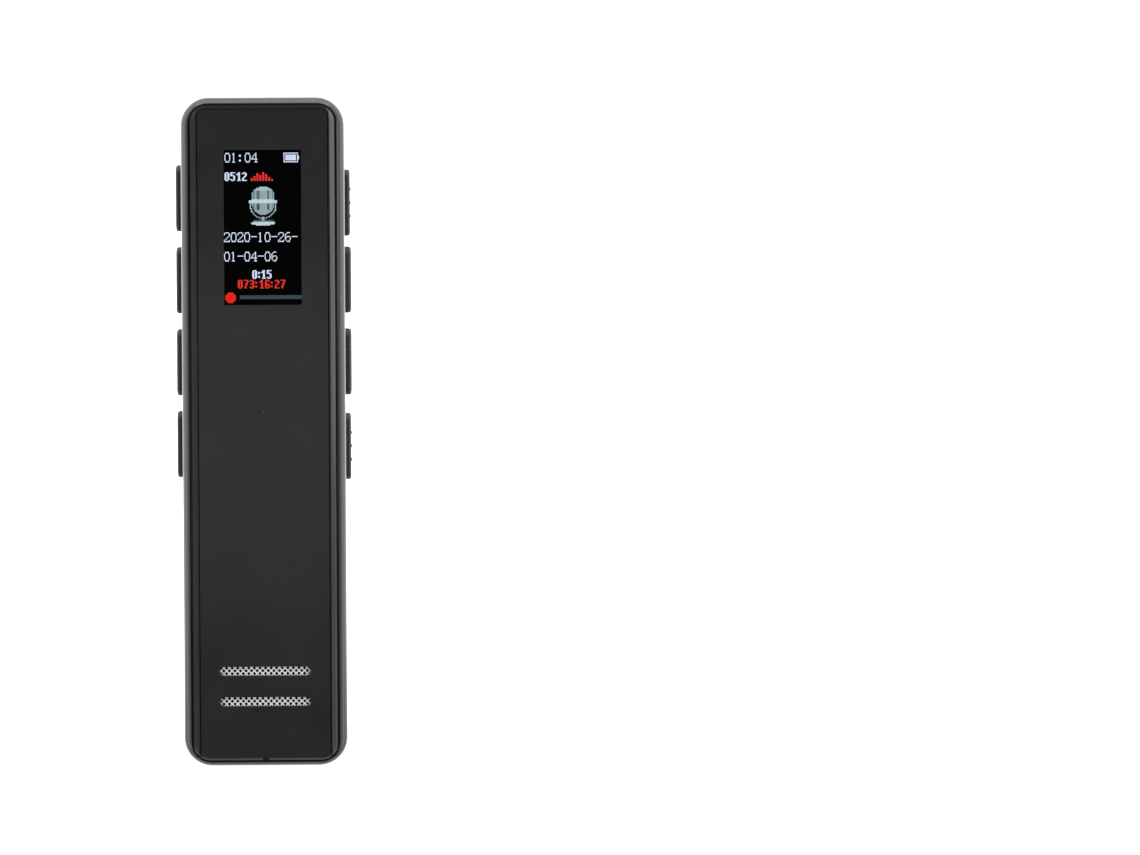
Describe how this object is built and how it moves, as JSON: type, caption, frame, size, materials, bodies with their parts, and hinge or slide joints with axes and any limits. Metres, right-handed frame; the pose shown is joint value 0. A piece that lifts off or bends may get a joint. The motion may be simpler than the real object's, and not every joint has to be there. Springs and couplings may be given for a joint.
{
  "type": "handheld voice recorder",
  "caption": "Slim bar-shaped voice recorder with a small colour screen, side keys and slide switches, a slotted speaker grille, a headphone jack and a charging socket.",
  "frame": {"origin": "on the resting face of the back, under the middle of the body", "axes": "+X to the right as seen from the front, +Y along the body to the screen end, +Z out of the front panel"},
  "size_m": [0.0248, 0.0942, 0.011],
  "materials": {
    "case_black": "polished moulded plastic",
    "panel_black": "high gloss",
    "window": "clear tinted window over the screen",
    "tape_black": "adhesive tape",
    "screen_glass": "dark display glass",
    "frame_white": "white moulded frame",
    "foam_tan": "foam tape",
    "ribbon_amber": "flexible film",
    "board_green": "solder resist",
    "chip_black": "moulded package",
    "can_steel": "plain steel can",
    "ceramic_tan": "fired ceramic",
    "cell_foil": "laminated foil pouch",
    "wire_red": "silicone insulation",
    "wire_black": "silicone insulation",
    "speaker_black": "moulded frame",
    "cone_grey": "pressed film",
    "magnet_nickel": "nickel plated",
    "gasket_black": "foam gasket",
    "mesh_silver": "bright pressed mesh",
    "socket_black": "moulded plastic",
    "bushing_nickel": "nickel plated",
    "contact_gold": "gold plated",
    "usb_steel": "tin plated",
    "screw_black": "blackened steel",
    "key_black": "fine satin texture",
    "switch_black": "moulded plastic",
    "plunger_white": "moulded plastic"
  },
  "bodies": {
    "casing": {"rear_shell": "case_black", "front_shell": "case_black", "front_panel": "panel_black", "display_window": "window", "panel_adhesive": "tape_black", "lcd_glass": "screen_glass", "lcd_backlight": "frame_white", "lcd_pad": "foam_tan", "lcd_ribbon": "ribbon_amber", "main_board": "board_green", "processor_chip": "chip_black", "memory_chip": "chip_black", "amplifier_chip": "chip_black", "crystal": "can_steel", "capacitors": "ceramic_tan", "battery": "cell_foil", "battery_board": "board_green", "battery_pad": "foam_tan", "battery_lead_red": "wire_red", "battery_lead_black": "wire_black", "speaker_frame": "speaker_black", "speaker_cone": "cone_grey", "speaker_magnet": "magnet_nickel", "speaker_gasket": "gasket_black", "speaker_lead_red": "wire_red", "speaker_lead_black": "wire_black", "upper_grille_mesh": "mesh_silver", "lower_grille_mesh": "mesh_silver", "left_microphone": "can_steel", "right_microphone": "can_steel", "left_mic_boot": "gasket_black", "right_mic_boot": "gasket_black", "jack_housing": "socket_black", "jack_bushing": "bushing_nickel", "jack_contacts": "contact_gold", "usb_shell": "usb_steel", "usb_tongue": "socket_black", "usb_contacts": "contact_gold", "case_screws": "screw_black", "left_key_switches": "switch_black", "right_key_switches": "switch_black", "power_switch": "can_steel", "record_switch": "can_steel"},
    "left_key_1_body": {"left_key_1": "key_black", "left_plunger_1": "plunger_white"},
    "left_key_2_body": {"left_key_2": "key_black", "left_plunger_2": "plunger_white"},
    "left_key_3_body": {"left_key_3": "key_black", "left_plunger_3": "plunger_white"},
    "left_key_4_body": {"left_key_4": "key_black", "left_plunger_4": "plunger_white"},
    "right_key_1_body": {"right_key_1": "key_black", "right_plunger_1": "plunger_white"},
    "right_key_2_body": {"right_key_2": "key_black", "right_plunger_2": "plunger_white"},
    "power_slider_body": {"power_slider": "key_black", "power_lever": "plunger_white"},
    "record_slider_body": {"record_slider": "key_black", "record_lever": "plunger_white"}
  },
  "joints": [
    {"name": "left_key_1_press", "type": "slide", "parent": "casing", "child": "left_key_1_body", "axis": [1, 0, 0], "range_m": [0, 0.0003], "stiffness_N_per_m": 1500},
    {"name": "left_key_2_press", "type": "slide", "parent": "casing", "child": "left_key_2_body", "axis": [1, 0, 0], "range_m": [0, 0.0003], "stiffness_N_per_m": 1500},
    {"name": "left_key_3_press", "type": "slide", "parent": "casing", "child": "left_key_3_body", "axis": [1, 0, 0], "range_m": [0, 0.0003], "stiffness_N_per_m": 1500},
    {"name": "left_key_4_press", "type": "slide", "parent": "casing", "child": "left_key_4_body", "axis": [1, 0, 0], "range_m": [0, 0.0003], "stiffness_N_per_m": 1500},
    {"name": "right_key_1_press", "type": "slide", "parent": "casing", "child": "right_key_1_body", "axis": [-1, 0, 0], "range_m": [0, 0.0003], "stiffness_N_per_m": 1500},
    {"name": "right_key_2_press", "type": "slide", "parent": "casing", "child": "right_key_2_body", "axis": [-1, 0, 0], "range_m": [0, 0.0003], "stiffness_N_per_m": 1500},
    {"name": "power_slide", "type": "slide", "parent": "casing", "child": "power_slider_body", "axis": [0, 1, 0], "range_m": [0, 0.0016]},
    {"name": "record_slide", "type": "slide", "parent": "casing", "child": "record_slider_body", "axis": [0, 1, 0], "range_m": [0, 0.0016]}
  ]
}
